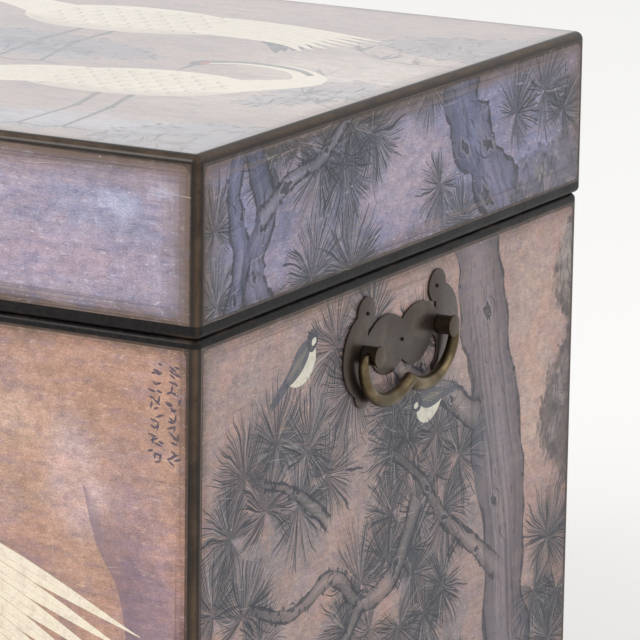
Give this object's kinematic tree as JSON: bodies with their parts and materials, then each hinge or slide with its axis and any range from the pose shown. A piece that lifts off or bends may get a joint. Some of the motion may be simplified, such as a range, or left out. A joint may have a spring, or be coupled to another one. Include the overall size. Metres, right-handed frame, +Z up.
{
  "type": "decorative chest",
  "caption": "Painted lacquer chest: a hollow rectangular box with a tall lift-off lid, black lips at the seam and a brass bail handle on each end.",
  "frame": {"origin": "on the floor, under the middle of the chest", "axes": "+X along the length towards the right end, +Y from the front to the back, +Z up"},
  "size_m": [0.6274, 0.38, 0.4203],
  "materials": {
    "painted_body": "satin lacquer over painting",
    "painted_lid": "gloss lacquer over painting",
    "brown_brass": "aged brown",
    "olive_brass": "aged, rubbed",
    "dark_steel": "tarnished"
  },
  "bodies": {
    "root": {"chest_body": "painted_body", "lid": "painted_lid", "right_handle_plate": "brown_brass", "right_front_post": "brown_brass", "right_back_post": "brown_brass", "right_front_nail": "dark_steel", "right_centre_nail": "dark_steel", "right_back_nail": "dark_steel", "left_handle_plate": "brown_brass", "left_front_post": "brown_brass", "left_back_post": "brown_brass", "left_front_nail": "dark_steel", "left_centre_nail": "dark_steel", "left_back_nail": "dark_steel"},
    "right_bail": {"right_bail": "olive_brass"},
    "left_bail": {"left_bail": "olive_brass"}
  },
  "joints": [
    {"name": "right_bail_swing", "type": "hinge", "parent": "root", "child": "right_bail", "pos_m": [0.3091, 0, 0.3005], "axis": [0, -1, 0], "range_deg": [-2, 180]},
    {"name": "left_bail_swing", "type": "hinge", "parent": "root", "child": "left_bail", "pos_m": [-0.3091, 0, 0.3005], "axis": [0, 1, 0], "range_deg": [-2, 180]}
  ]
}
